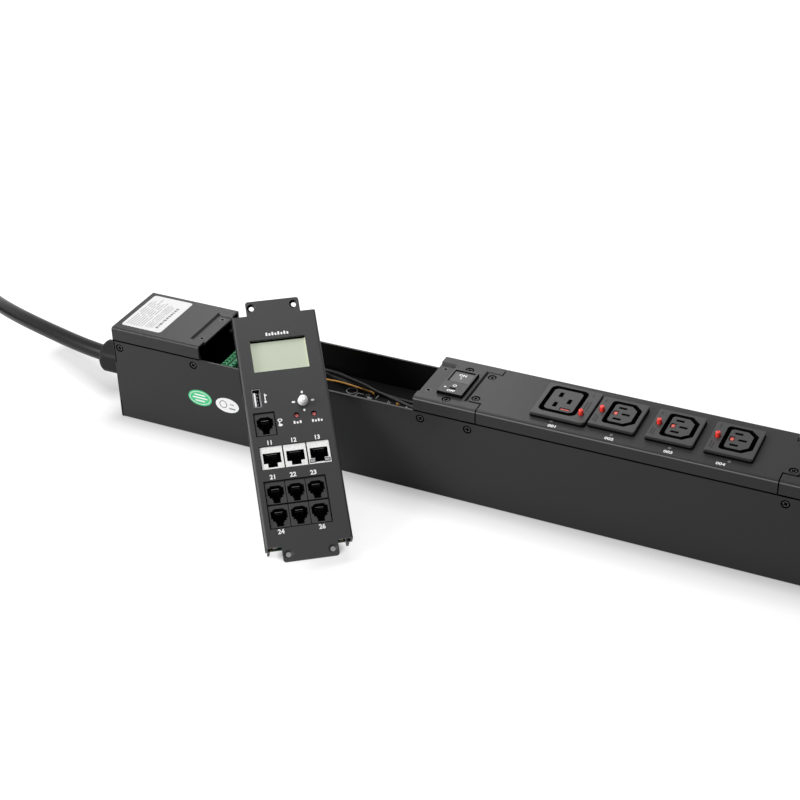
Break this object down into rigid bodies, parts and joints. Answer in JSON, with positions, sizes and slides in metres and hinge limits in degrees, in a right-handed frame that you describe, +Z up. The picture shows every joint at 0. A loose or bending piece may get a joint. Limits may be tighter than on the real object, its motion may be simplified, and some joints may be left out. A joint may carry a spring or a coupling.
{
  "type": "rack power distribution unit",
  "caption": "Long folded-steel rack power strip with locking outlets, a rocker breaker, an open controller bay and its display module taken out and leaning on the front",
  "frame": {"origin": "middle of the channel's flat underside, on the floor", "axes": "+X along the channel from the cord end, +Y from the front wall to the back wall, +Z up out of the outlets"},
  "size_m": [0.9786, 0.2804, 0.1226],
  "materials": {
    "casing": "satin",
    "panel": "satin",
    "screw": "satin",
    "gland": "matte",
    "seal": "matte",
    "cord": "matte",
    "plug": "matte",
    "pin_metal": "satin",
    "outlet": "matte",
    "button": "gloss",
    "lock_tab": "matte",
    "copper": "satin",
    "light_pipe": "gloss",
    "breaker": "matte",
    "rocker": "satin",
    "green_board": "satin",
    "black_board": "satin",
    "steel": "satin",
    "display_frame": "matte",
    "display": "gloss",
    "network_jack": "matte",
    "modular_jack": "satin",
    "knob": "matte",
    "nav_inner": "matte",
    "switch": "matte",
    "plunger": "matte",
    "terminal": "satin",
    "black_wire": "satin",
    "amber_wire": "satin"
  },
  "bodies": {
    "unit": {"amber_wire": "amber_wire", "black_wires": "black_wire", "board_pillars": "steel", "breaker_body": "breaker", "breaker_cover": "casing", "breaker_screws": "screw", "bus_bars": "copper", "controller_board": "green_board", "controller_panel": "panel", "cord_coil": "cord", "cover_screws": "screw", "display_frame": "display_frame", "display_glass": "display", "gland_body": "gland", "gland_locknut": "gland", "gland_nut": "gland", "gland_seal": "seal", "left_cover": "casing", "left_end_plate": "casing", "lock_tabs": "lock_tab", "main_board": "black_board", "nav_base": "nav_inner", "network_jack_1": "network_jack", "network_jack_2": "network_jack", "network_jack_3": "network_jack", "outlet_c13_1": "outlet", "outlet_c13_2": "outlet", "outlet_c13_3": "outlet", "outlet_c19": "outlet", "outlet_contacts": "copper", "outlet_cover": "casing", "outlet_leds": "light_pipe", "panel_pillars": "steel", "plug_body": "plug", "plug_pins": "pin_metal", "power_cord": "cord", "reset_switches": "switch", "right_cover": "casing", "right_end_plate": "casing", "sensor_jack_1": "modular_jack", "sensor_jack_2": "modular_jack", "sensor_jack_3": "modular_jack", "sensor_jack_4": "modular_jack", "sensor_jack_5": "modular_jack", "sensor_jack_6": "modular_jack", "serial_jack": "modular_jack", "side_screws": "screw", "terminal_block": "terminal", "tray": "casing", "usb_port": "steel"},
    "breaker_rocker_body": {"breaker_rocker": "rocker"},
    "release_button_1_body": {"release_button_1": "button"},
    "release_button_2_body": {"release_button_2": "button"},
    "release_button_3_body": {"release_button_3": "button"},
    "release_button_4_body": {"release_button_4": "button"},
    "reset_plunger_1_body": {"reset_plunger_1": "plunger"},
    "reset_plunger_2_body": {"reset_plunger_2": "plunger"},
    "nav_gimbal_body": {"nav_gimbal": "nav_inner"},
    "nav_knob_body": {"nav_knob": "knob"}
  },
  "joints": [
    {"name": "breaker_swing", "type": "hinge", "parent": "unit", "child": "breaker_rocker_body", "pos_m": [-0.01935, -0.003, 0.0748], "axis": [1, 0, 0], "range_deg": [0, 14.2]},
    {"name": "release_press_1", "type": "slide", "parent": "unit", "child": "release_button_1_body", "axis": [0, 0, -1], "range_m": [0, 0.0025], "stiffness_N_per_m": 400, "springref_m": -0.002},
    {"name": "release_press_2", "type": "slide", "parent": "unit", "child": "release_button_2_body", "axis": [0, 0, -1], "range_m": [0, 0.0025], "stiffness_N_per_m": 400, "springref_m": -0.002},
    {"name": "release_press_3", "type": "slide", "parent": "unit", "child": "release_button_3_body", "axis": [0, 0, -1], "range_m": [0, 0.0025], "stiffness_N_per_m": 400, "springref_m": -0.002},
    {"name": "release_press_4", "type": "slide", "parent": "unit", "child": "release_button_4_body", "axis": [0, 0, -1], "range_m": [0, 0.0025], "stiffness_N_per_m": 400, "springref_m": -0.002},
    {"name": "reset_press_1", "type": "slide", "parent": "unit", "child": "reset_plunger_1_body", "axis": [-0.3431, 0.4713, -0.8125], "range_m": [0, 0.0006], "stiffness_N_per_m": 600, "springref_m": -0.001},
    {"name": "reset_press_2", "type": "slide", "parent": "unit", "child": "reset_plunger_2_body", "axis": [-0.3431, 0.4713, -0.8125], "range_m": [0, 0.0006], "stiffness_N_per_m": 600, "springref_m": -0.001},
    {"name": "nav_tilt_up_down", "type": "hinge", "parent": "unit", "child": "nav_gimbal_body", "pos_m": [-0.11344, -0.05772, 0.06895], "axis": [0.8085, 0.5885, 0], "range_deg": [-4, 4], "stiffness_Nm_per_rad": 0.05},
    {"name": "nav_tilt_left_right", "type": "hinge", "parent": "nav_gimbal_body", "child": "nav_knob_body", "pos_m": [-0.11344, -0.05772, 0.06895], "axis": [-0.4781, 0.6569, 0.583], "range_deg": [-4, 4], "stiffness_Nm_per_rad": 0.05}
  ]
}
